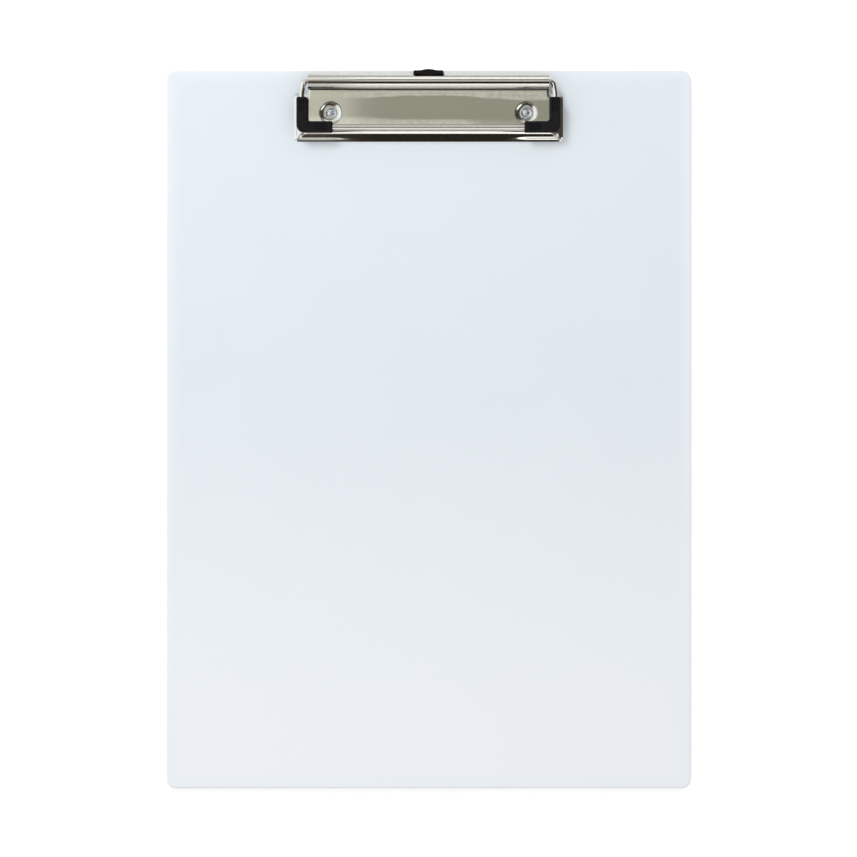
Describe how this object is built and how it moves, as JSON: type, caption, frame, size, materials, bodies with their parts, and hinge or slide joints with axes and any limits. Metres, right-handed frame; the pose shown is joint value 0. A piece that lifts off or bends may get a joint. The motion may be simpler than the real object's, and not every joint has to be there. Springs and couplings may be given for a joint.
{
  "type": "clipboard",
  "caption": "Flat plastic clipboard for A4 paper with a low sprung wire clip, two ribbed rubber grips, and a hanging hook that slides out of the top edge.",
  "frame": {"origin": "centre of the board's flat back face", "axes": "+Z out of the front face, where the clip is; +Y up the board towards the clip; +X to the right, seen from the front"},
  "size_m": [0.23, 0.315, 0.0121],
  "materials": {
    "board_plastic": "milky translucent white, satin",
    "nickel_plated_steel": "bright nickel plating with a fine rolled grain",
    "nickel_plated_wire": "bright nickel plating on drawn wire",
    "rivet_aluminium": "plain tumbled aluminium",
    "black_rubber": "satin moulded rubber with fine ribs",
    "spring_steel": "drawn spring steel, lightly oiled",
    "black_plastic": "fine matt moulded black"
  },
  "bodies": {
    "base": {"board": "board_plastic", "clip_plate": "nickel_plated_steel", "rivet_left": "rivet_aluminium", "rivet_right": "rivet_aluminium", "spring_left": "spring_steel", "spring_right": "spring_steel"},
    "lever": {"wire_lever": "nickel_plated_wire", "grip_left": "black_rubber", "grip_right": "black_rubber"},
    "hook": {"hanging_hook": "black_plastic"}
  },
  "joints": [
    {"name": "lever_hinge", "type": "hinge", "parent": "base", "child": "lever", "pos_m": [0, 0.1523, 0.0086], "axis": [-1, 0, 0], "range_deg": [0, 100], "stiffness_Nm_per_rad": 0.146, "springref_deg": -91.67, "deforming": ["spring_left", "spring_right"]},
    {"name": "hook_slide", "type": "slide", "parent": "base", "child": "hook", "axis": [0, 1, 0], "range_m": [0, 0.016]}
  ]
}
